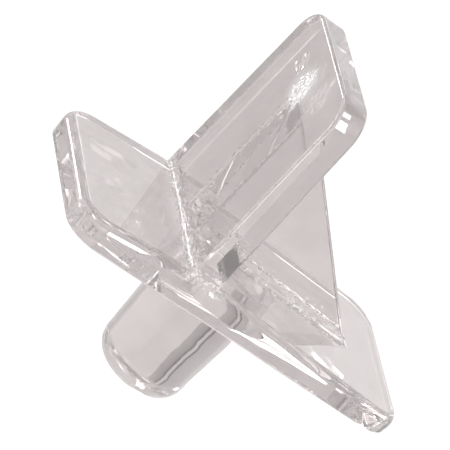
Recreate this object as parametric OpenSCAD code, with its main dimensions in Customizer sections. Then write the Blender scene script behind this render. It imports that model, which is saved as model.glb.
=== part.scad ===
// Shelf support pin, moulded in one piece.
//
// The origin is on the wall: the middle of the round spot where the peg leaves
// the back plate. The peg runs into the wall along -X, the shelf plate stands
// out along +X, +Z is up and Y runs along the shelf's edge.

/* [Peg] */
// Diameter of the peg's straight part, which fits the hole in the wall
peg_d = 6.2; // [4:0.05:8]
// Length of the straight part, from the back plate's rear face
peg_straight = 2.5; // [1:0.1:5]
// Angle at which the peg's side closes in from there to the free end, in degrees
peg_taper = 3.7; // [0.5:0.1:6]
// Length of the whole peg, from the back plate's rear face
peg_l = 7.8; // [5:0.1:14]
// Radius that rounds the peg's free end
peg_tip_r = 1.5; // [0.2:0.1:1.8]

/* [Back plate] */
// Width of the back plate
plate_w = 12.5; // [9:0.1:20]
// Height of the back plate's upper end above the peg's axis
plate_up = 11.9; // [9:0.1:18]
// Depth of the back plate's lower end below the peg's axis
plate_down = 12; // [9:0.1:18]
// Thickness of the back plate where the shelf plate joins it
plate_t = 2.2; // [1.8:0.05:3.5]
// Angle at which the front face leans back towards both ends, in degrees
plate_lean = 3.3; // [0.5:0.1:4]
// Corner radius of the back plate
plate_corner_r = 2; // [1:0.1:4]
// Radius that rounds the front face's edges
plate_edge_r = 0.6; // [0.1:0.05:0.8]
// Thickness of the rear layer, from the wall to the mould's parting line
rear_t = 0.4; // [0.2:0.05:0.8]
// Width of the small step that the parting line leaves round the back plate
parting_step = 0.03; // [0.01:0.01:0.2]
// Radius that rounds the rear face's edges
rear_edge_r = 0.15; // [0.05:0.05:0.2]

/* [Shelf plate] */
// Height of the shelf plate's middle above the peg's axis
shelf_mid = 3.6; // [2:0.1:6]
// Width of the shelf plate where it joins the back plate
shelf_w = 12.4; // [6:0.1:20]
// Thickness of the shelf plate
shelf_t = 1.9; // [1.4:0.05:3]
// Distance from the wall to the shelf plate's end
shelf_reach = 15.2; // [10:0.1:24]
// How far each side of the shelf plate closes in over each millimetre of its length
shelf_draft = 0.02; // [0:0.002:0.04]
// Corner radius of the shelf plate
shelf_corner_r = 1.8; // [1:0.1:4]
// Radius that rounds the shelf plate's edges
shelf_edge_r = 0.25; // [0.05:0.05:0.5]

/* [Rib] */
// Thickness of the rib under the shelf plate
rib_t = 2.6; // [1.2:0.1:5]
// Distance from the wall to the rib's outer end, under the shelf plate
rib_reach = 11.5; // [6:0.1:15]
// Depth of the rib's foot below the peg's axis
rib_down = 8.2; // [3:0.1:10]

/* [Hidden] */
$fn = 96;
// How far one piece runs into the next, so that they join as one solid
bite = 0.6;

// Section of a plate's rim. The inside is at x = 0 and the rim is at x = reach. The near face is at
// y = 0, with an edge of radius near_r, and the far face is at y = t, with an edge of radius far_r.
module rim_section(reach, t, near_r, far_r) {
    difference() {
        square([reach, t]);
        translate([reach - near_r, 0]) square(near_r);
        if (far_r > 0) translate([reach - far_r, t - far_r]) square(far_r);
    }
    translate([reach - near_r, near_r]) circle(near_r);
    if (far_r > 0) translate([reach - far_r, t - far_r]) circle(far_r);
}

// A plate that lies on the XY plane, from x = 0 to x = l, with two round corners at its far end.
// Each long side closes in by the angle draft. near_r rounds the edges on the XY plane, and far_r
// those of the other face.
module plate(l, w, t, corner_r, near_r, far_r = 0, draft = 0) {
    // Centre of the corner on the +Y side
    centre_x = l - corner_r;
    centre_y = w / 2 - corner_r / cos(draft) - centre_x * tan(draft);
    // The middle runs a little way into both long sides
    inset = (corner_r - max(near_r, far_r)) / 2;
    middle = [centre_y + inset + centre_x * tan(draft), centre_y + inset];
    linear_extrude(t) polygon([[0, middle[0]], [centre_x, middle[1]], [centre_x, -middle[1]], [0, -middle[0]]]);
    for (side = [0, 1]) mirror([0, side, 0]) translate([centre_x, centre_y, 0]) {
        // Long side, from the corner back to x = 0
        rotate([90, 0, -90 - draft]) mirror([1, 0, 0])
            linear_extrude(centre_x / cos(draft)) rim_section(corner_r, t, near_r, far_r);
        // Corner
        rotate_extrude(angle = 90 - draft) rim_section(corner_r, t, near_r, far_r);
        // Half of the end
        rotate([90, 0, 0]) linear_extrude(centre_y) rim_section(corner_r, t, near_r, far_r);
    }
}

// Front of one half of the back plate, from the shelf plate's middle to an end that is rise away
module front_leaf(rise, edge_r) {
    rotate([0, -90 - plate_lean, 0]) plate(rise / cos(plate_lean), plate_w, plate_t, plate_corner_r, edge_r);
}

// Rear layer of the same half, which runs into the front by seat. Its rim stands back from the
// front's rim by the parting step.
module rear_leaf(rise, seat) {
    end_t = plate_t - rise * tan(plate_lean);
    shortfall = (end_t - rear_t) * tan(plate_lean) + parting_step;
    mirror([1, 0, -1]) plate(rise - shortfall, plate_w - 2 * parting_step, rear_t + seat,
        plate_corner_r, rear_edge_r);
}

module back_plate() {
    rises = [plate_up - shelf_mid, plate_down + shelf_mid];
    // Thickness at the thinner end, in front of the parting line, which limits the edge's radius
    thin_t = plate_t - max(rises) * tan(plate_lean) - rear_t;
    edge_r = min(plate_edge_r, 0.8 * thin_t);
    translate([0, 0, shelf_mid]) for (half = [0, 1]) mirror([0, 0, half]) {
        difference() {
            translate([plate_t, 0, 0]) front_leaf(rises[half], edge_r);
            // Room for the rear layer
            translate([rear_t - 2 * plate_t, -plate_w, -plate_w])
                cube([2 * plate_t, 2 * plate_w, rises[half] + 2 * plate_w]);
        }
        rear_leaf(rises[half], (thin_t - edge_r) / 2);
    }
}

module shelf_plate() {
    root_x = plate_t - bite;
    translate([root_x, 0, shelf_mid - shelf_t / 2])
        plate(shelf_reach - root_x, shelf_w, shelf_t, shelf_corner_r, shelf_edge_r, shelf_edge_r,
            asin(shelf_draft));
}

module rib() {
    foot_x = plate_t - (shelf_mid + rib_down) * tan(plate_lean);
    top = shelf_mid - shelf_t / 2;
    // The inner corners lie inside the two plates
    translate([0, rib_t / 2, 0]) rotate([90, 0, 0]) linear_extrude(rib_t) polygon([
        [foot_x - bite, shelf_mid], [rib_reach, shelf_mid], [rib_reach, top],
        [foot_x, -rib_down], [foot_x - bite, -rib_down]
    ]);
}

module peg() {
    // Centre of the circle that rounds the free end, as a height along the peg and a radius
    round_z = peg_l - peg_tip_r;
    round_x = peg_d / 2 - (round_z - peg_straight) * tan(peg_taper) - peg_tip_r / cos(peg_taper);
    rotate([0, -90, 0]) {
        // The straight part starts inside the back plate
        translate([0, 0, -plate_t / 2]) cylinder(d = peg_d, h = plate_t / 2 + peg_straight);
        rotate_extrude() {
            polygon([
                [0, peg_straight], [peg_d / 2, peg_straight],
                [round_x + peg_tip_r * cos(peg_taper), round_z + peg_tip_r * sin(peg_taper)],
                [round_x, round_z], [round_x, peg_l], [0, peg_l]
            ]);
            intersection() {
                translate([round_x, round_z]) circle(peg_tip_r);
                translate([round_x, round_z]) square(peg_tip_r);
            }
        }
    }
}

module support_pin() {
    color([0.86, 0.85, 0.85, 0.6]) {
        back_plate();
        shelf_plate();
        rib();
        peg();
    }
}

support_pin();
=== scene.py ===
"""A clear plastic shelf support pin on a plain studio floor."""

import math
from typing import NamedTuple

import bmesh
import bpy
from bpy.props import FloatProperty, FloatVectorProperty, IntProperty, PointerProperty
from mathutils import Matrix, Vector, noise


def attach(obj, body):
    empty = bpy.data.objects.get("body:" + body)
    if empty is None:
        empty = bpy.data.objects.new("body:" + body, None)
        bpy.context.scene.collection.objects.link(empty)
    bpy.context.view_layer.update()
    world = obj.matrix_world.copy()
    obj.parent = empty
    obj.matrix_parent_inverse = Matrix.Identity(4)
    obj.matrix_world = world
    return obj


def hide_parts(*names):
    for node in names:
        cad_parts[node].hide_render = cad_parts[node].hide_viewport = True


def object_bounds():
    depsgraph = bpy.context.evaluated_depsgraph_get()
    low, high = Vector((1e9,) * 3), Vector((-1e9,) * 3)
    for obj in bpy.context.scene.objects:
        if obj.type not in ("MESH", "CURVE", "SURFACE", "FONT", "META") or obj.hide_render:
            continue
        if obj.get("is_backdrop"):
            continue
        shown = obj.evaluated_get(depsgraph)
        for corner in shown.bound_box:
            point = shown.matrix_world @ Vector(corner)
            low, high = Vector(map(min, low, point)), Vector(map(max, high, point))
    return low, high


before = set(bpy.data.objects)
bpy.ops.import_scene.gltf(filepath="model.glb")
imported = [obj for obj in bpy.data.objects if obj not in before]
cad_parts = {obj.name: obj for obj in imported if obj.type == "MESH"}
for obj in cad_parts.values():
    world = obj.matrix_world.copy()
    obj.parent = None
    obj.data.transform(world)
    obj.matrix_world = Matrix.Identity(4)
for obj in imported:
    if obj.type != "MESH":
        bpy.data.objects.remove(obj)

bl_info = {
    "name": "Shelf Support Pin",
    "version": (1, 1, 0),
    "blender": (4, 5, 0),
    "location": "3D View > Sidebar > Shelf Pin",
    "description": "Models a clear plastic shelf support pin and sets up its studio",
    "category": "Object",
}

NODE = "support_pin"
MM = 0.001


class FlowMark(NamedTuple):
    """A shallow mark where the plastic flowed in, beside the gate mark."""
    turn: float  # Direction from +X towards +Y, in degrees
    distance: float  # From the middle of the gate mark, in millimetres
    length: float  # In millimetres
    width: float  # In millimetres


class SoftBox(NamedTuple):
    """A lamp that faces the part."""
    name: str
    azimuth: float  # From +X towards +Y, in degrees
    elevation: float  # In degrees
    distance: float  # In metres
    width: float  # In metres
    height: float  # In metres
    light: float  # Light of its face, where 1 is white


FLOW_MARKS = (
    FlowMark(turn=88, distance=2.15, length=1.4, width=0.5),
    FlowMark(turn=70, distance=2.1, length=1.6, width=0.7),
    FlowMark(turn=10, distance=1.2, length=0.8, width=0.6),
)
SOFT_BOXES = (
    SoftBox("card_left", azimuth=124.8, elevation=-25.8, distance=0.12,
            width=0.0265, height=0.01, light=3.4),
    SoftBox("card_edge", azimuth=146, elevation=-25.8, distance=0.12,
            width=0.02, height=0.01, light=3.4),
    SoftBox("card_right", azimuth=60, elevation=-8, distance=0.15,
            width=0.053, height=0.026, light=2.0),
    SoftBox("window", azimuth=84, elevation=33, distance=0.4,
            width=0.056, height=0.056, light=15.0),
    SoftBox("ceiling_box", azimuth=109, elevation=57, distance=0.4,
            width=0.11, height=0.11, light=5.0),
    SoftBox("card_wall", azimuth=-152, elevation=-20, distance=0.15,
            width=0.1, height=0.045, light=1.8),
)
# The far wall, as it shows through the plastic: elevation in degrees, and light, where 1 is white
FAR_WALL = (
    (-16, 1.0), (-10, 0.76), (-3.5, 0.62),
    (-2.2, 0.35), (-1.2, 0.35),
    (-0.6, 1.0), (2.4, 1.0),
    (3, 0.35), (4.4, 0.35),
    (5.5, 0.8), (27, 0.85),
    (31, 1.0), (37, 1.0),
    (41, 0.85),
)
# Its table can hold elevations up to this, above and below the horizon
FAR_WALL_TOP = 60
# Each part of the room eases in between two directions, as cosines of their angle to the room's back
CEILING_EASE = (-0.5, 0.2)
BACK_WALL_EASE = (0.6, 0.85)
FAR_WALL_EASE = (0.8, 0.9)
# White specks lie this far from a face, full up to the first and gone at the second, in millimetres
BY_LEAF = (0.2, 0.8)
BY_RIB = (0.1, 0.35)
BY_UNDERSIDE = (0.1, 0.45)
BY_SHELF_MIDDLE = (1.1, 1.9)
# How often light may turn inside the plastic
BOUNCES = 32


def size(name, millimetres, description):
    """A setting for a length, with its default in millimetres."""
    return FloatProperty(name=name, description=description, unit="LENGTH", min=0,
                         precision=5, default=millimetres * MM)


class PegSettings(bpy.types.PropertyGroup):
    """The round peg that goes into the wall."""
    diameter: size("Diameter", 6.2, "Diameter of the straight part")
    straight: size("Straight length", 2.5, "Length of the straight part")
    taper: FloatProperty(name="Taper", description="Angle at which the side closes in", subtype="ANGLE",
                         default=math.radians(3.7))
    length: size("Length", 7.8, "Length of the whole peg")
    tip_radius: size("Tip radius", 1.5, "Radius that rounds the free end")


class BackPlateSettings(bpy.types.PropertyGroup):
    """The upright plate that lies against the wall."""
    width: size("Width", 12.5, "Width of the plate")
    up: size("Upper end", 11.9, "Height of the upper end above the peg's axis")
    down: size("Lower end", 12.0, "Depth of the lower end below the peg's axis")
    thickness: size("Thickness", 2.2, "Thickness where the shelf plate joins")
    lean: FloatProperty(name="Lean", description="Angle at which the front leans back towards both ends",
                        subtype="ANGLE", default=math.radians(3.3))
    corner_radius: size("Corner radius", 2.0, "Radius of the four corners")
    edge_radius: size("Front edge radius", 0.6, "Radius that rounds the front face's edges")
    rear: size("Rear layer", 0.4, "Thickness of the layer behind the mould's parting line")
    parting_step: size("Parting step", 0.03, "Width of the step at the parting line")
    rear_edge_radius: size("Rear edge radius", 0.15, "Radius that rounds the rear face's edges")


class ShelfPlateSettings(bpy.types.PropertyGroup):
    """The flat plate under the shelf."""
    middle: size("Height", 3.6, "Height of the plate's middle above the peg's axis")
    width: size("Width", 12.4, "Width where the plate joins the back plate")
    root_thickness: size("Root thickness", 2.0, "Thickness where the plate joins the back plate")
    end_thickness: size("End thickness", 1.8, "Thickness at the free end")
    reach: size("Reach", 15.2, "Distance from the wall to the free end")
    draft: FloatProperty(name="Side draft", description="How far a side closes in along its length",
                         default=0.02)
    corner_radius: size("Corner radius", 1.8, "Radius of the outer corners")
    edge_radius: size("Edge radius", 0.25, "Radius that rounds the edges")


class RibSettings(bpy.types.PropertyGroup):
    """The triangular rib that braces the shelf plate."""
    thickness: size("Thickness", 2.6, "Thickness of the rib")
    reach: size("Reach", 11.5, "Distance from the wall to the outer end")
    down: size("Foot", 8.2, "Depth of the foot below the peg's axis")
    edge_radius: size("Edge radius", 0.12, "Radius that rounds the sloping edge")


class GateSettings(bpy.types.PropertyGroup):
    """The mark on the shelf plate where the plastic came into the mould."""
    inset: size("Inset", 2.7, "Distance from the shelf plate's end to the gate mark")
    spread: size("Spread", 0.9, "Radius of the rough spot")
    pits: IntProperty(name="Pits", description="Number of small hollows in the rough spot",
                      min=1, default=18)
    pit: size("Pit", 0.45, "Width of a small hollow")
    depth: size("Depth", 0.08, "Depth of the hollows")
    flow_depth: size("Flow mark depth", 0.09, "Depth of a flow mark")


class JoinSettings(bpy.types.PropertyGroup):
    """How the forms run into each other."""
    fillet: size("Fillet", 0.25, "Radius in the corners where the plates and the rib join")
    left_fillet: size("Left fillet", 0.4, "Radius in the corners on the rib's left")
    rib_fillet: size("Rib fillet", 0.6, "Radius in the corners at the two ends of the rib's slope")
    waver: FloatProperty(name="Waver", description="How much the uneven fillets come and go",
                         min=0, max=0.8, default=0.5)
    bite: size("Bite", 0.6, "How far one form runs into the next, so that they join as one")
    steps: IntProperty(name="Steps", description="Faces across a rounded edge", min=2, default=8)


class PlasticSettings(bpy.types.PropertyGroup):
    """The clear plastic."""
    # Painted shade: a grey that stands in for the darker surroundings seen through the clear plastic,
    # taken in the first wall alone
    see_through_shade: FloatVectorProperty(
        name="Tint", description="Colour of light that has passed through one wall",
        subtype="COLOR", size=3, min=0, max=1, default=(0.53, 0.478, 0.476))
    ior: FloatProperty(
        name="IOR", description="Refractive index of the plastic", min=1.3, max=1.8, default=1.585)
    roughness: FloatProperty(
        name="Roughness", description="Roughness of the clearest faces",
        subtype="FACTOR", min=0, max=1, default=0.0)
    haze: FloatProperty(
        name="Haze", description="Roughness of the handled, hazy patches",
        subtype="FACTOR", min=0, max=1, default=0.05)
    cloud: size("Cloud", 2.5, "Size of the patches of slightly lighter plastic")
    ripple: size("Ripple", 2.2, "Length of the faces' faint waves")
    ripple_depth: size("Ripple depth", 0.006, "Depth of the faint waves")
    drag_mark: size("Drag mark", 0.35, "Width of the marks that the mould left along the peg")
    drag_depth: size("Drag depth", 0.008, "Depth of those marks")
    gate_pale: FloatProperty(
        name="Gate pale", description="How far the tint fades at the gate mark",
        subtype="FACTOR", min=0, max=1, default=0.85)
    blush: size("Blush", 1.5, "Radius of the white blush round the gate mark")
    speck: size("Speck", 0.24, "Size of the white specks in the corners and round the gate mark")
    speck_depth: size("Speck depth", 0.02, "How far the specks stand out")
    speck_roughness: FloatProperty(
        name="Speck roughness", description="How much rougher the specks are than the faces",
        subtype="FACTOR", min=0, max=1, default=0.2)
    speck_milk: FloatProperty(
        name="Speck milk", description="Share of the light that the specks keep from passing through",
        subtype="FACTOR", min=0, max=1, default=0.3)


class StudioSettings(bpy.types.PropertyGroup):
    """The camera, the floor and the room."""
    azimuth: FloatProperty(
        name="Camera azimuth", description="Angle of the camera round the part, from -Y towards +X",
        subtype="ANGLE", default=math.radians(22.069))
    elevation: FloatProperty(
        name="Camera elevation", description="Angle of the camera above the part",
        subtype="ANGLE", default=math.radians(25.088))
    roll: FloatProperty(
        name="Camera roll", description="Turn of the camera about its own axis",
        subtype="ANGLE", default=math.radians(56.134))
    distance: FloatProperty(
        name="Camera distance", description="From the camera to the peg's root",
        unit="LENGTH", default=0.256114)
    lens: FloatProperty(
        name="Lens", description="Focal length on a 36 mm sensor", unit="CAMERA", default=360.0)
    aim: FloatVectorProperty(
        name="Aim", description="Point at the middle of the picture", subtype="TRANSLATION",
        size=3, default=(0.00246, 0.00163, 0.00126))
    floor_drop: FloatProperty(
        name="Floor drop", description="Gap between the part's lowest point and the floor",
        unit="LENGTH", min=0, default=0.05)
    floor_radius: FloatProperty(
        name="Floor radius", description="Radius of the round floor", unit="LENGTH", default=0.3)
    # Painted shade: the grey of the floor's far end, which only reflections and light bouncing off the
    # floor take
    shaded_floor_color: FloatVectorProperty(
        name="Floor colour", description="Colour of the floor away from the part",
        subtype="COLOR", size=3, min=0, max=1, default=(0.75, 0.75, 0.75))
    backdrop_color: FloatVectorProperty(
        name="Backdrop colour", description="Colour of the floor's middle, and of it as background",
        subtype="COLOR", size=3, min=0, max=1, default=(0.88, 0.88, 0.88))
    floor_middle: FloatProperty(
        name="Floor middle", description="Radius of the floor's pale middle",
        unit="LENGTH", default=0.092)
    floor_ease: FloatProperty(
        name="Floor ease", description="How far the pale middle fades out, as a share of its radius",
        subtype="FACTOR", min=0, max=1, default=0.25)
    wall_light: FloatProperty(
        name="Wall light", description="Light of the walls round the horizon", min=0, default=0.75)
    ledge_light: FloatProperty(
        name="Ledge light", description="Light of the darker upper part of the back wall", min=0,
        default=0.4)
    ledge: FloatProperty(
        name="Ledge", description="Height above the horizon at which the darker upper part starts",
        subtype="ANGLE", default=math.radians(8))
    ledge_ease: FloatProperty(
        name="Ledge ease", description="Height over which the wall darkens to the ledge",
        subtype="ANGLE", default=math.radians(6))
    ceiling_light: FloatProperty(
        name="Ceiling light", description="Light of the ceiling", min=0, default=1.7)
    front_light: FloatProperty(
        name="Front light", description="Light of the ceiling on the camera's side", min=0, default=0.6)
    back: FloatProperty(
        name="Back", description="Azimuth of the room's back, from +X towards +Y",
        subtype="ANGLE", default=math.radians(110))
    wall_top: FloatProperty(
        name="Wall top", description="Height above the horizon at which the walls end",
        subtype="ANGLE", default=math.radians(27))
    ceiling_edge: FloatProperty(
        name="Ceiling edge", description="Height above the horizon at which the ceiling is at full light",
        subtype="ANGLE", default=math.radians(38))


class Build:
    """Shared by the operators."""
    bl_options = {"REGISTER", "UNDO"}


def arc(radius, start, end, steps):
    """Points of an arc round the origin, as (x, y), with the angles in degrees."""
    angles = [math.radians(start + (end - start) * i / steps) for i in range(steps + 1)]
    return [(radius * math.cos(a), radius * math.sin(a)) for a in angles]


def form(name, rings, caps=None):
    """A closed mesh object from rings of equally many points, capped at both ends. caps splits the last
    ring's cap into several faces."""
    mesh = bpy.data.meshes.new(name)
    bm = bmesh.new()
    rows = [[bm.verts.new(point) for point in ring] for ring in rings]
    count = len(rows[0])
    for low, high in zip(rows, rows[1:]):
        for i in range(count):
            j = (i + 1) % count
            bm.faces.new((low[i], low[j], high[j], high[i]))
    bm.faces.new(rows[0])
    for part in caps or [range(count)]:
        bm.faces.new([rows[-1][i] for i in part])
    bmesh.ops.recalc_face_normals(bm, faces=bm.faces)
    bm.to_mesh(mesh)
    bm.free()
    return bpy.data.objects.new(name, mesh)


def front_at(plate, distance):
    """How far the back plate's front is from the wall, at this distance from its ridge."""
    return plate.thickness - distance * math.tan(plate.lean)


def thinning(shelf, wall):
    """How much thickness the shelf plate loses over each unit of its length from the back plate."""
    return (shelf.root_thickness - shelf.end_thickness) / (shelf.reach - wall)


def back_plate(plate, middle, steps):
    """Flat behind, with a front that leans back from a ridge at the height middle."""
    half = plate.width / 2
    sine, cosine = math.sin(plate.lean), math.cos(plate.lean)
    rises = (plate.up - middle, plate.down + middle)
    # The rounded edge may take at most this share of the front layer where that is thinnest
    share = 0.8
    thin = front_at(plate, max(rises)) - plate.rear
    edge = min(plate.edge_radius, share * thin)

    def ring(inset, place):
        """One round of the rim, inset all round. place turns (u, y, side) into a point, where u is the
        distance from the ridge along the front and side is 1 above the ridge and -1 below."""
        points = []
        for side, rise in ((1, rises[0]), (-1, rises[1])):
            length = rise / cosine
            radius = plate.corner_radius
            corner = [(length - radius + (radius - inset) * x, half - radius + (radius - inset) * y)
                      for x, y in arc(1, 90, 0, 2 * steps)]
            there = [(0, half - inset), *corner]
            across = there + [(u, -y) for u, y in reversed(there)]
            if side < 0:
                across = [(u, -y) for u, y in across[1:-1]]
            points += [place(u, y, side) for u, y in across]
        return points

    def in_front(depth):
        """Places on the leaning front, moved into the plate by depth."""
        def place(u, y, side):
            lift = u * cosine - (depth * sine if u else 0)
            return (plate.thickness - u * sine - depth * cosine, y, middle + side * lift)
        return place

    def at_parting(u, y, side):
        """Places in the parting line's plane, straight behind the front's."""
        depth = (plate.thickness - u * sine - plate.rear) / cosine
        lift = u * cosine - (depth * sine if u else 0)
        return (plate.rear, y, middle + side * lift)

    def behind(x):
        """Places of the parting line, moved to the plane at x."""
        def place(u, y, side):
            return (x, *at_parting(u, y, side)[1:])
        return place

    step, back = plate.parting_step, plate.rear_edge_radius
    rings = [ring(step + back - y, behind(back + x)) for x, y in arc(back, 180, 90, steps)]
    rings.append(ring(step, behind(plate.rear)))
    rings.append(ring(0, at_parting))
    rings += [ring(edge - x, in_front(edge - y)) for x, y in arc(edge, 0, 90, steps)]
    # The front is two flat faces that meet at the ridge. The upper one has two rounded corners
    top = 2 * (2 * steps + 2)
    caps = [list(range(top)), [top - 1, *range(top, len(rings[0])), 0]]
    return form("back_plate", rings, caps)


def shelf_plate(shelf, root_x, wall, steps):
    """A tongue with round outer corners, which thins and narrows towards its free end. It starts at
    root_x, inside the back plate, and wall is the back plate's thickness."""
    lean = math.atan(shelf.draft)
    radius, edge = shelf.corner_radius, shelf.edge_radius
    centre_x = shelf.reach - radius
    centre_y = shelf.width / 2 - radius / math.cos(lean) - (centre_x - root_x) * math.tan(lean)
    fall = thinning(shelf, wall)

    def ring(inset, rise, side):
        """One round of the rim, inset all round. rise is its height in the rounded edge, and side is 1
        for the upper edge and -1 for the lower one."""
        r = radius - inset
        corner = [(centre_x + x, centre_y + y) for x, y in arc(r, 90 - math.degrees(lean), 0, 2 * steps)]
        root_y = centre_y + r / math.cos(lean) + (centre_x - root_x) * math.tan(lean)
        there = [(root_x, root_y), *corner]
        points = []
        for x, y in there + [(x, -y) for x, y in reversed(there)]:
            half = (shelf.root_thickness - (x - wall) * fall) / 2 - edge
            points.append((x, y, shelf.middle + side * (half + rise)))
        return points

    profile = [(edge - x, y) for x, y in arc(edge, 90, 0, steps)]
    lower = [ring(inset, rise, -1) for inset, rise in profile]
    upper = [ring(inset, rise, 1) for inset, rise in reversed(profile)]
    return form("shelf_plate", lower + upper)


def rib_plate(rib, foot_x, top, bite, steps):
    """A triangle under the shelf plate, with its sloping edge rounded. foot_x is where its foot meets the
    back plate, and top is the height of the shelf plate's underside."""
    foot, head = Vector((foot_x, -rib.down)), Vector((rib.reach, top))
    along = (head - foot).normalized()
    out = Vector((along.y, -along.x))

    def ring(inset, y):
        """The rib's outline at y, with its slope inset."""
        # Where the inset slope meets the foot's level and the head's upright
        start = foot - out * inset
        low = start + along * ((foot.y - start.y) / along.y)
        high = start + along * ((head.x - start.x) / along.x)
        outline = [(foot_x - bite, top + bite), (head.x, top + bite), high, low, (foot_x - bite, foot.y)]
        return [(x, y, z) for x, z in outline]

    half, edge = rib.thickness / 2, rib.edge_radius
    side = [(edge - y, -half + edge - x) for x, y in arc(edge, 0, 90, steps)]
    near = [ring(inset, y) for inset, y in side]
    far = [ring(inset, -y) for inset, y in reversed(side)]
    return form("rib", near + far)


def round_peg(peg, start, steps):
    """A straight part, a tapered one and a rounded free end. start is how far it runs into the plate."""
    tan, cos = math.tan(peg.taper), math.cos(peg.taper)
    centre = peg.length - peg.tip_radius
    radius = peg.diameter / 2 - (centre - peg.straight) * tan - peg.tip_radius / cos
    taper = math.degrees(peg.taper)
    tip = [(centre + y, radius + x) for x, y in arc(peg.tip_radius, taper, 90, 2 * steps)]
    profile = [(-start, peg.diameter / 2), (peg.straight, peg.diameter / 2), *tip]
    around = 16 * steps
    turns = [2 * math.pi * i / around for i in range(around)]
    return form("peg", [[(-x, r * math.sin(turn), r * math.cos(turn)) for turn in turns]
                        for x, r in profile])


def fillet(name, corner, first, second, radius, start, end, steps, waver=0):
    """A concave strip between two faces, from start to end. first and second run away from the corner
    along the two faces. waver is how much the radius comes and goes along the strip."""
    corner, first, second = Vector(corner), Vector(first).normalized(), Vector(second).normalized()
    start, end = Vector(start), Vector(end)
    angle = first.angle(second)
    # Length of one piece of an uneven strip, and how far the unevenness reaches
    spacing, lump = 0.3 * MM, 0.45 * MM
    # How far both ends dip under the faces, as a share of the first and last chord
    dip = 0.5

    def section(radius):
        """Points across the strip, from one face round to the other and then inside the corner."""
        tangent = radius / math.tan(angle / 2)
        centre = corner + (first + second).normalized() * (radius / math.sin(angle / 2))
        arms = (corner + first * tangent - centre, corner + second * tangent - centre)
        turn = arms[0].angle(arms[1])
        points = []
        for i in range(steps + 1):
            t = i / steps
            weight = [math.sin((1 - t) * turn) / math.sin(turn), math.sin(t * turn) / math.sin(turn)]
            points.append(centre + arms[0] * weight[0] + arms[1] * weight[1])
        points[0] += (points[0] - points[1]) * dip
        points[-1] += (points[-1] - points[-2]) * dip
        points.append(corner - (first + second) * radius)
        return points

    count = max(1, round((end - start).length / spacing)) if waver else 1
    rings = []
    for i in range(count + 1):
        place = start.lerp(end, i / count)
        change = waver * noise.noise((corner + place) / lump)
        rings.append([point + place for point in section(radius * (1 + change))])
    return form(name, rings)


def lens(name, centre, length, width, depth, turn, steps):
    """A shallow round hollow's cutter, with its long way turned from +X by turn."""
    # It is an ellipsoid, this many times as tall as the hollow is deep, which sits most of the way out
    taller = 8
    tall, share = depth * taller, math.sqrt(1 - (1 - 1 / taller) ** 2)
    along = Vector((math.cos(turn), math.sin(turn), 0)) * length / 2 / share
    across = Vector((-math.sin(turn), math.cos(turn), 0)) * width / 2 / share
    middle = Vector(centre) + Vector((0, 0, tall - depth))
    # The two ends are cut off flat at this latitude
    end = 85
    rings = []
    for r, z in arc(1, -end, end, 4 * steps):
        rings.append([middle + along * x * r + across * y * r + Vector((0, 0, z * tall))
                      for x, y in arc(1, 0, 360, 6 * steps)[:-1]])
    return form(name, rings)


def gate_mark(shelf, gate, wall, steps):
    """Cutters for the rough spot where the plastic came in, with the flow marks beside it. wall is the
    back plate's thickness, where the shelf plate starts to thin."""
    middle = shelf.reach - gate.inset
    fall = thinning(shelf, wall)

    def on_top(turn, distance):
        """The point of the shelf plate's upper face in this direction from the mark's middle."""
        x = middle + distance * math.cos(turn)
        half = (shelf.root_thickness - (x - wall) * fall) / 2
        return (x, distance * math.sin(turn), shelf.middle + half)

    # Each pit is turned from the last by the golden angle, which spreads them evenly
    golden = math.radians(137.5)
    # How uneven the pits' widths are, how far apart their noise is read, and their length for their width
    uneven, stride, longer = 0.5, 1.7, 1.4
    cutters = []
    for i in range(gate.pits):
        turn = i * golden
        far = gate.spread * math.sqrt((i + 0.5) / gate.pits)
        wide = gate.pit * (1 + uneven * noise.noise((i * stride, 0, 0)))
        cutters.append(lens(f"pit_{i}", on_top(turn, far), wide * longer, wide, gate.depth, turn * 2,
                            steps // 3))
    for i, mark in enumerate(FLOW_MARKS):
        turn = math.radians(mark.turn)
        cutters.append(lens(f"flow_{i}", on_top(turn, mark.distance * MM), mark.length * MM,
                            mark.width * MM, gate.flow_depth, turn, steps // 2))
    return cutters


def fillets(plate, shelf, rib, joins):
    """The small concave rounds where the plates and the rib meet."""
    # The strips beside the rib stop short of its slope, at this share of their way
    short = 0.97
    lean, steps, radius = plate.lean, joins.steps, joins.fillet
    # Each face of the shelf plate takes half of its thinning
    fall = thinning(shelf, plate.thickness) / 2
    half_shelf, half_rib = shelf.width / 2 - plate.edge_radius, rib.thickness / 2
    strips = []
    for name, side in (("upper", 1), ("lower", -1)):
        z = shelf.middle + side * shelf.root_thickness / 2
        corner = (front_at(plate, shelf.root_thickness / 2), 0, z)
        along_shelf, along_leaf = (1, 0, -side * fall), (-math.sin(lean), 0, side * math.cos(lean))
        strips.append(fillet(name, corner, along_shelf, along_leaf, radius,
                             (0, -half_shelf, 0), (0, half_shelf, 0), steps, joins.waver))
    # The last corner is the lower one, where the rib starts
    corner = Vector(corner)
    head = Vector((rib.reach, 0, corner.z + (rib.reach - corner.x) * fall))
    foot = Vector((front_at(plate, shelf.middle + rib.down), 0, -rib.down))
    for name, side in (("left", -1), ("right", 1)):
        out = Vector((0, side, 0))
        beside = out * half_rib
        waver = joins.waver if side > 0 else 0
        radius = joins.fillet if side > 0 else joins.left_fillet
        strips.append(fillet(f"rib_head_{name}", corner + beside, out, (0, 0, -1), radius,
                             (0, 0, 0), (head - corner) * short, steps, waver))
        strips.append(fillet(f"rib_foot_{name}", corner + beside, out, (1, 0, 0), radius,
                             (0, 0, 0), (foot - corner) * short, steps, waver))
    slope = foot - head
    across = (0, -half_rib + rib.edge_radius, 0), (0, half_rib - rib.edge_radius, 0)
    strips.append(fillet("rib_head", head, (1, 0, fall), slope, joins.rib_fillet, *across, steps))
    strips.append(fillet("rib_foot", foot, -slope, foot - corner, joins.rib_fillet, *across, steps))
    return strips


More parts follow.
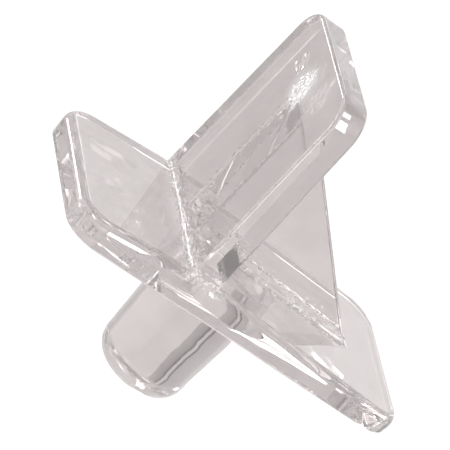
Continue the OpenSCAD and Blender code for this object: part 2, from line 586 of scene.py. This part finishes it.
def join(name, forms, cutters):
    """One closed mesh from forms that run into each other, less the cutters."""
    # Points closer than this are one, and faces closer to flat than this angle are one
    tiny, flat = 1e-7, 0.002
    body, *others = forms
    scene = bpy.context.scene
    for item in (*forms, *cutters):
        scene.collection.objects.link(item)
    for other in (*others, *cutters):
        union = body.modifiers.new(other.name, "BOOLEAN")
        union.operation = "UNION" if other in others else "DIFFERENCE"
        union.solver, union.object = "EXACT", other
    bpy.context.view_layer.update()
    solid = body.evaluated_get(bpy.context.evaluated_depsgraph_get())
    mesh = bpy.data.meshes.new_from_object(solid)
    for item in (*forms, *cutters):
        bpy.data.objects.remove(item)
    bm = bmesh.new()
    bm.from_mesh(mesh)
    bmesh.ops.remove_doubles(bm, verts=bm.verts, dist=tiny)
    bmesh.ops.dissolve_degenerate(bm, edges=bm.edges, dist=tiny)
    bmesh.ops.dissolve_limit(bm, angle_limit=flat, verts=bm.verts, edges=bm.edges)
    open_edges = [edge for edge in bm.edges if len(edge.link_faces) != 2]
    bm.to_mesh(mesh)
    bm.free()
    if open_edges:
        raise RuntimeError(f"{name}: {len(open_edges)} edges don't have two faces")
    mesh.name = name
    piece = bpy.data.objects.new(name, mesh)
    scene.collection.objects.link(piece)
    return piece


def smooth(piece, angle):
    """Rounds shade smoothly, flats stay flat and real edges stay sharp."""
    piece.data.shade_smooth()
    piece.data.set_sharp_from_angle(angle=math.radians(angle))
    normals = piece.modifiers.new("flat_faces", "WEIGHTED_NORMAL")
    normals.keep_sharp = True
    normals.weight = 100


class Graph:
    """Adds nodes to a material's or a world's node tree."""

    def __init__(self, tree):
        self.nodes, self.links = tree.nodes, tree.links

    def put(self, value, socket):
        """Links an output to an input, or sets the input."""
        if isinstance(value, bpy.types.NodeSocket):
            self.links.new(value, socket)
        else:
            socket.default_value = value

    def place(self, kind):
        """The point or direction that is being shaded, as one of the texture coordinates."""
        return self.nodes.new("ShaderNodeTexCoord").outputs[kind]

    def axes(self, vector):
        """The x, y and z of a vector."""
        node = self.nodes.new("ShaderNodeSeparateXYZ")
        self.put(vector, node.inputs[0])
        return node.outputs

    def math(self, operation, *values):
        node = self.nodes.new("ShaderNodeMath")
        node.operation = operation
        for socket, value in zip(node.inputs, values):
            self.put(value, socket)
        return node.outputs[0]

    def vector(self, operation, *values):
        """A vector operation. Its result is a number, but for MULTIPLY."""
        node = self.nodes.new("ShaderNodeVectorMath")
        node.operation = operation
        for socket, value in zip(node.inputs, values):
            self.put(value, socket)
        return node.outputs["Vector" if operation == "MULTIPLY" else "Value"]

    def product(self, first, *others):
        for other in others:
            first = self.math("MULTIPLY", first, other)
        return first

    def largest(self, first, *others):
        for other in others:
            first = self.math("MAXIMUM", first, other)
        return first

    def mix(self, kind, factor, first, second):
        """Goes from first to second, numbers for FLOAT and colours for RGBA, while factor goes to 1."""
        node = self.nodes.new("ShaderNodeMix")
        node.data_type = kind
        for name, value in (("Factor", factor), ("A", first), ("B", second)):
            self.put(value, node.inputs[name])
        return node.outputs["Result"]

    def noise(self, place, grain, detail):
        """Cloudy noise from 0 to 1, with lumps about grain across."""
        node = self.nodes.new("ShaderNodeTexNoise")
        self.put(place, node.inputs["Vector"])
        node.inputs["Scale"].default_value = 1 / grain
        node.inputs["Detail"].default_value = detail
        return node.outputs[0]

    def rise(self, value, start, end, low, high):
        """Eases from low to high while value goes from start to end."""
        node = self.nodes.new("ShaderNodeMapRange")
        node.interpolation_type = "SMOOTHSTEP"
        for name, number in (("Value", value), ("From Min", start), ("From Max", end),
                             ("To Min", low), ("To Max", high)):
            self.put(number, node.inputs[name])
        return node.outputs[0]

    def near(self, value, place, reach):
        """1 where value is close to place, easing to 0. reach holds the two distances, in millimetres."""
        full, gone = reach
        distance = self.math("ABSOLUTE", self.math("SUBTRACT", value, place))
        return self.rise(distance, full * MM, gone * MM, 1, 0)

    def background(self):
        """Two outputs that are 1 for the camera's own rays, and for those that went through the plastic
        without a reflection."""
        path = self.nodes.new("ShaderNodeLightPath").outputs
        straight = self.math("LESS_THAN", path["Glossy Depth"], 0.5)
        return path["Is Camera Ray"], self.math("MULTIPLY", path["Is Transmission Ray"], straight)


def in_corners(graph, place, plate, shelf, rib):
    """1 in the corners where the plates and the rib meet, easing to 0 away from them."""
    x, y, z = graph.axes(place)
    rise = graph.math("SUBTRACT", z, shelf.middle)
    front = graph.math("MULTIPLY_ADD", graph.math("ABSOLUTE", rise), -math.tan(plate.lean),
                       plate.thickness)
    off_rib = graph.math("SUBTRACT", graph.math("ABSOLUTE", y), rib.thickness / 2)
    # The specks beside the rib are full this far from its sides, and fade out past its ends
    beside, past_end, past_top = 0.1 * MM, 0.3 * MM, 0.5 * MM
    by_leaf = graph.near(graph.math("SUBTRACT", x, front), 0, BY_LEAF)
    by_rib = graph.product(graph.near(off_rib, beside, BY_RIB),
                           graph.rise(z, shelf.middle, shelf.middle + past_top, 1, 0),
                           graph.rise(z, -rib.down - past_end, -rib.down, 0, 1),
                           graph.rise(x, rib.reach, rib.reach + past_end, 1, 0))
    by_under = graph.near(graph.math("ADD", rise, shelf.root_thickness / 2), 0, BY_UNDERSIDE)
    by_shelf = graph.near(rise, 0, BY_SHELF_MIDDLE)
    corner = graph.largest(graph.product(by_leaf, graph.largest(by_rib, by_shelf)),
                           graph.product(by_rib, by_under))
    # None on the peg or close to the wall
    off_wall = graph.math("GREATER_THAN", x, 1 * MM)
    return graph.product(corner, off_wall)


def clear_plastic(settings, plate, shelf, rib, gate):
    """Clear plastic with a painted grey shade in the first wall that light crosses, a faint ripple, drag
    marks along the peg and white specks in the corners.
    """
    material = bpy.data.materials.new("clear_plastic")
    material.use_nodes = True
    graph = Graph(material.node_tree)
    shader = graph.nodes["Principled BSDF"].inputs
    place = graph.place("Object")

    # Where the moulding is rough: round the gate mark and in the corners
    gate_middle = (shelf.reach - gate.inset, 0, shelf.middle + shelf.end_thickness / 2)
    from_gate = graph.vector("DISTANCE", place, gate_middle)
    spot = graph.rise(from_gate, settings.blush / 2, settings.blush, 1, 0)
    rough = graph.largest(spot, in_corners(graph, place, plate, shelf, rib))
    # A speck starts where the noise is above the first number, and is full above the second
    speck_levels = (0.52, 0.6)
    specks = graph.rise(graph.noise(place, settings.speck, detail=2), *speck_levels, 0, 1)
    white = graph.product(rough, specks)
    # A halo that is half as pale fades out beyond the blush
    halo_end, halo_pale = 1.3 * settings.blush, 0.5
    halo = graph.rise(from_gate, settings.blush / 2, halo_end, halo_pale, 0)
    # Where pale is 1 the painted shade is left out, so the specks, the spot round the gate mark and its
    # halo show lighter
    pale = graph.largest(white, halo, graph.product(spot, settings.gate_pale))

    # Painted shade: light takes a grey in the first wall alone, which stands in for the darker
    # surroundings seen through the plastic, so that walls seen through others stay as light
    path = graph.nodes.new("ShaderNodeLightPath")
    first = graph.math("LESS_THAN", path.outputs["Transmission Depth"], 1.5)
    cloud_levels, thinnest_tint = (0.3, 0.7), 0.9
    cloud = graph.rise(graph.noise(place, settings.cloud, detail=3), *cloud_levels, thinnest_tint, 1)
    # The painted shade applies in the first wall, less in the lighter clouds and not at all where pale is
    # 1
    painted_shade = graph.product(first, cloud, graph.math("SUBTRACT", 1, pale))
    graph.put(graph.mix("RGBA", painted_shade, (1, 1, 1, 1), (*settings.see_through_shade, 1)), shader["Base Color"])

    # Ripple all over, drag marks along the peg, which end just off the wall, and the specks
    stretch = (0.3, 1, 1)
    drag_start, drag_end = -0.5 * MM, -0.1 * MM
    marks = graph.noise(graph.vector("MULTIPLY", place, stretch), settings.drag_mark, detail=3)
    on_peg = graph.rise(graph.axes(place)["X"], drag_start, drag_end, settings.drag_depth, 0)
    drag = graph.product(marks, on_peg)
    ripple = graph.noise(place, settings.ripple, detail=1)
    height = graph.math("MULTIPLY_ADD", ripple, settings.ripple_depth, drag)
    bump = graph.nodes.new("ShaderNodeBump")
    bump.inputs["Distance"].default_value = 1
    graph.put(graph.math("MULTIPLY_ADD", white, settings.speck_depth, height), bump.inputs["Height"])
    graph.put(bump.outputs[0], shader["Normal"])

    # Handled, hazy patches, which are smaller than the clouds
    patch, patch_levels = 0.6 * settings.cloud, (0.45, 0.75)
    patches = graph.noise(place, patch, detail=4)
    haze = graph.rise(patches, *patch_levels, settings.roughness, settings.haze)
    graph.put(graph.math("MULTIPLY_ADD", white, settings.speck_roughness, haze), shader["Roughness"])
    graph.put(graph.math("MULTIPLY_ADD", white, -settings.speck_milk, 1), shader["Transmission Weight"])
    shader["IOR"].default_value = settings.ior
    return material


class SHELFPIN_OT_moulding(Build, bpy.types.Operator):
    """Models the pin as one clear moulding"""
    bl_idname = "shelfpin.moulding"
    bl_label = "Moulding"

    def execute(self, context):
        scene = context.scene
        peg, plate, shelf = scene.shelfpin_peg, scene.shelfpin_plate, scene.shelfpin_shelf
        rib, gate, joins = scene.shelfpin_rib, scene.shelfpin_gate, scene.shelfpin_joins
        steps, bite = joins.steps, joins.bite
        top = shelf.middle - shelf.root_thickness / 2
        foot_x = front_at(plate, shelf.middle + rib.down)
        forms = [
            back_plate(plate, shelf.middle, steps),
            shelf_plate(shelf, plate.thickness - bite, plate.thickness, steps),
            rib_plate(rib, foot_x, top, bite, steps // 2),
            round_peg(peg, plate.thickness / 2, steps),
            *fillets(plate, shelf, rib, joins),
        ]
        cutters = gate_mark(shelf, gate, plate.thickness, steps)
        piece = join("clear_moulding", forms, cutters)
        smooth(piece, angle=20)
        plastic = clear_plastic(scene.shelfpin_plastic, plate, shelf, rib, gate)
        piece.data.materials.clear()
        piece.data.materials.append(plastic)
        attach(piece, "root")
        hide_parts(NODE)
        return {"FINISHED"}


class SHELFPIN_OT_camera(Build, bpy.types.Operator):
    """Adds the camera and aims it"""
    bl_idname = "shelfpin.camera"
    bl_label = "Camera"

    def execute(self, context):
        s = context.scene.shelfpin_studio
        towards = Vector((math.sin(s.azimuth) * math.cos(s.elevation),
                          -math.cos(s.azimuth) * math.cos(s.elevation), math.sin(s.elevation)))
        level = Vector((math.cos(s.azimuth), math.sin(s.azimuth), 0))
        upright = towards.cross(level)
        right = math.cos(s.roll) * level - math.sin(s.roll) * upright
        up = math.sin(s.roll) * level + math.cos(s.roll) * upright
        camera = bpy.data.objects.new("camera", bpy.data.cameras.new("camera"))
        camera.data.lens = s.lens
        camera.data.clip_start, camera.data.clip_end = 0.01, 20
        turn = Matrix((right, up, towards)).transposed().to_4x4()
        camera.matrix_world = Matrix.Translation(Vector(s.aim) + s.distance * towards) @ turn
        context.scene.collection.objects.link(camera)
        context.scene.camera = camera
        return {"FINISHED"}


def room(graph, height, back, settings):
    """Grey walls round the horizon, with a darker upper part at the back, under a bright ceiling that
    falls off towards the front."""
    ceiling = graph.rise(back, *CEILING_EASE, settings.front_light, settings.ceiling_light)
    ledge_end = settings.ledge + settings.ledge_ease
    ledge = graph.rise(height, math.sin(settings.ledge), math.sin(ledge_end),
                       settings.wall_light, settings.ledge_light)
    walls = graph.rise(back, *BACK_WALL_EASE, settings.wall_light, ledge)
    return graph.rise(height, math.sin(settings.wall_top), math.sin(settings.ceiling_edge),
                      walls, ceiling)


def far_wall(graph, height):
    """White below, and in bands round the horizon and above it."""
    node = graph.nodes.new("ShaderNodeValToRGB")
    bands = node.color_ramp
    bands.interpolation = "LINEAR"
    bands.elements.remove(bands.elements[1])
    bands.elements[0].position = 0
    bands.elements[0].color = (1, 1, 1, 1)
    span = 2 * FAR_WALL_TOP
    for elevation, light in FAR_WALL:
        bands.elements.new(0.5 + elevation / span).color = (light, light, light, 1)
    elevation = graph.math("ARCSINE", height)
    graph.put(graph.math("MULTIPLY_ADD", elevation, math.degrees(1) / span, 0.5), node.inputs[0])
    return node.outputs["Color"]


def surroundings(world, settings):
    """The room lights the part. The camera sees white in its place, and through the plastic it sees white
    too, or the far wall where it looks towards the back."""
    world.use_nodes = True
    graph = Graph(world.node_tree)
    direction = graph.place("Generated")
    height = graph.axes(direction)["Z"]
    level_back = (math.cos(settings.back), math.sin(settings.back), 0)
    back = graph.vector("DOT_PRODUCT", direction, level_back)
    through = graph.mix("FLOAT", graph.rise(back, *FAR_WALL_EASE, 0, 1), 1, far_wall(graph, height))
    camera, crossing = graph.background()
    light = graph.mix("FLOAT", crossing, room(graph, height, back, settings), through)
    background = graph.nodes["Background"].inputs
    background["Color"].default_value = (1, 1, 1, 1)
    graph.put(graph.mix("FLOAT", camera, light, 1), background["Strength"])


def table_top(settings):
    """Pale in the middle, and where it is the background, and grey further out: painted shade for the
    floor's far end, seen in reflections and in the light it bounces.
    """
    material = bpy.data.materials.new("floor")
    material.use_nodes = True
    graph = Graph(material.node_tree)
    shader = graph.nodes["Principled BSDF"].inputs
    shader["Roughness"].default_value = 1
    shader["Specular IOR Level"].default_value = 0
    out = graph.vector("LENGTH", graph.place("Object"))
    fade_end = settings.floor_middle * (1 + settings.floor_ease)
    middle = graph.rise(out, settings.floor_middle, fade_end, 1, 0)
    pale = graph.largest(*graph.background(), middle)
    # Painted shade: grey away from the middle, for all but the camera's rays and those straight through
    # the plastic
    color = graph.mix("RGBA", pale, (*settings.shaded_floor_color, 1), (*settings.backdrop_color, 1))
    graph.put(color, shader["Base Color"])
    return material


def round_floor(settings, height):
    """A flat disc with its middle under the part."""
    sides = 96
    mesh = bpy.data.meshes.new("floor")
    rim = [(x, y, 0) for x, y in arc(settings.floor_radius, 0, 360, sides)[:-1]]
    mesh.from_pydata(rim, [], [range(sides)])
    mesh.materials.append(table_top(settings))
    floor = bpy.data.objects.new("floor", mesh)
    floor.location.z = height
    return floor


def lamp(box):
    """A soft box, seen in the part's faces but not by the camera."""
    data = bpy.data.lights.new(box.name, "AREA")
    data.shape = "RECTANGLE"
    data.size, data.size_y = box.width, box.height
    # An area lamp's power for a face of this light
    data.energy = box.light * math.pi * box.width * box.height
    azimuth, elevation = math.radians(box.azimuth), math.radians(box.elevation)
    place = box.distance * Vector((math.cos(azimuth) * math.cos(elevation),
                                   math.sin(azimuth) * math.cos(elevation), math.sin(elevation)))
    item = bpy.data.objects.new(box.name, data)
    item.matrix_world = Matrix.Translation(place) @ place.to_track_quat("Z", "Y").to_matrix().to_4x4()
    item.visible_camera = False
    return item


class SHELFPIN_OT_studio(Build, bpy.types.Operator):
    """Builds the surroundings, the lamps and the floor"""
    bl_idname = "shelfpin.studio"
    bl_label = "Studio"

    def execute(self, context):
        scene = context.scene
        settings = scene.shelfpin_studio
        scene.world = bpy.data.worlds.new("studio")
        surroundings(scene.world, settings)
        for box in SOFT_BOXES:
            scene.collection.objects.link(lamp(box))
        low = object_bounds()[0]
        floor = round_floor(settings, low[2] - settings.floor_drop)
        scene.collection.objects.link(floor)
        floor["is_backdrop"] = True
        scene.view_settings.view_transform = "Standard"
        scene.cycles.max_bounces = BOUNCES
        scene.cycles.transmission_bounces = BOUNCES
        scene.cycles.glossy_bounces = BOUNCES
        return {"FINISHED"}


class SHELFPIN_PT_panel(bpy.types.Panel):
    """A button for each operator"""
    bl_label = "Shelf Support Pin"
    bl_idname = "SHELFPIN_PT_panel"
    bl_space_type = "VIEW_3D"
    bl_region_type = "UI"
    bl_category = "Shelf Pin"

    def draw(self, context):
        for operator in OPERATORS:
            self.layout.operator(operator.bl_idname)


SETTINGS = {
    "shelfpin_peg": PegSettings,
    "shelfpin_plate": BackPlateSettings,
    "shelfpin_shelf": ShelfPlateSettings,
    "shelfpin_rib": RibSettings,
    "shelfpin_gate": GateSettings,
    "shelfpin_joins": JoinSettings,
    "shelfpin_plastic": PlasticSettings,
    "shelfpin_studio": StudioSettings,
}
OPERATORS = (SHELFPIN_OT_moulding, SHELFPIN_OT_camera, SHELFPIN_OT_studio)
CLASSES = (*SETTINGS.values(), *OPERATORS, SHELFPIN_PT_panel)


def register():
    for cls in CLASSES:
        bpy.utils.register_class(cls)
    for name, cls in SETTINGS.items():
        setattr(bpy.types.Scene, name, PointerProperty(type=cls))


def unregister():
    for name in SETTINGS:
        delattr(bpy.types.Scene, name)
    for cls in reversed(CLASSES):
        bpy.utils.unregister_class(cls)


def main():
    register()
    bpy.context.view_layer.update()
    bpy.ops.shelfpin.moulding()
    bpy.ops.shelfpin.camera()
    bpy.ops.shelfpin.studio()


if __name__ == "__main__":
    main()
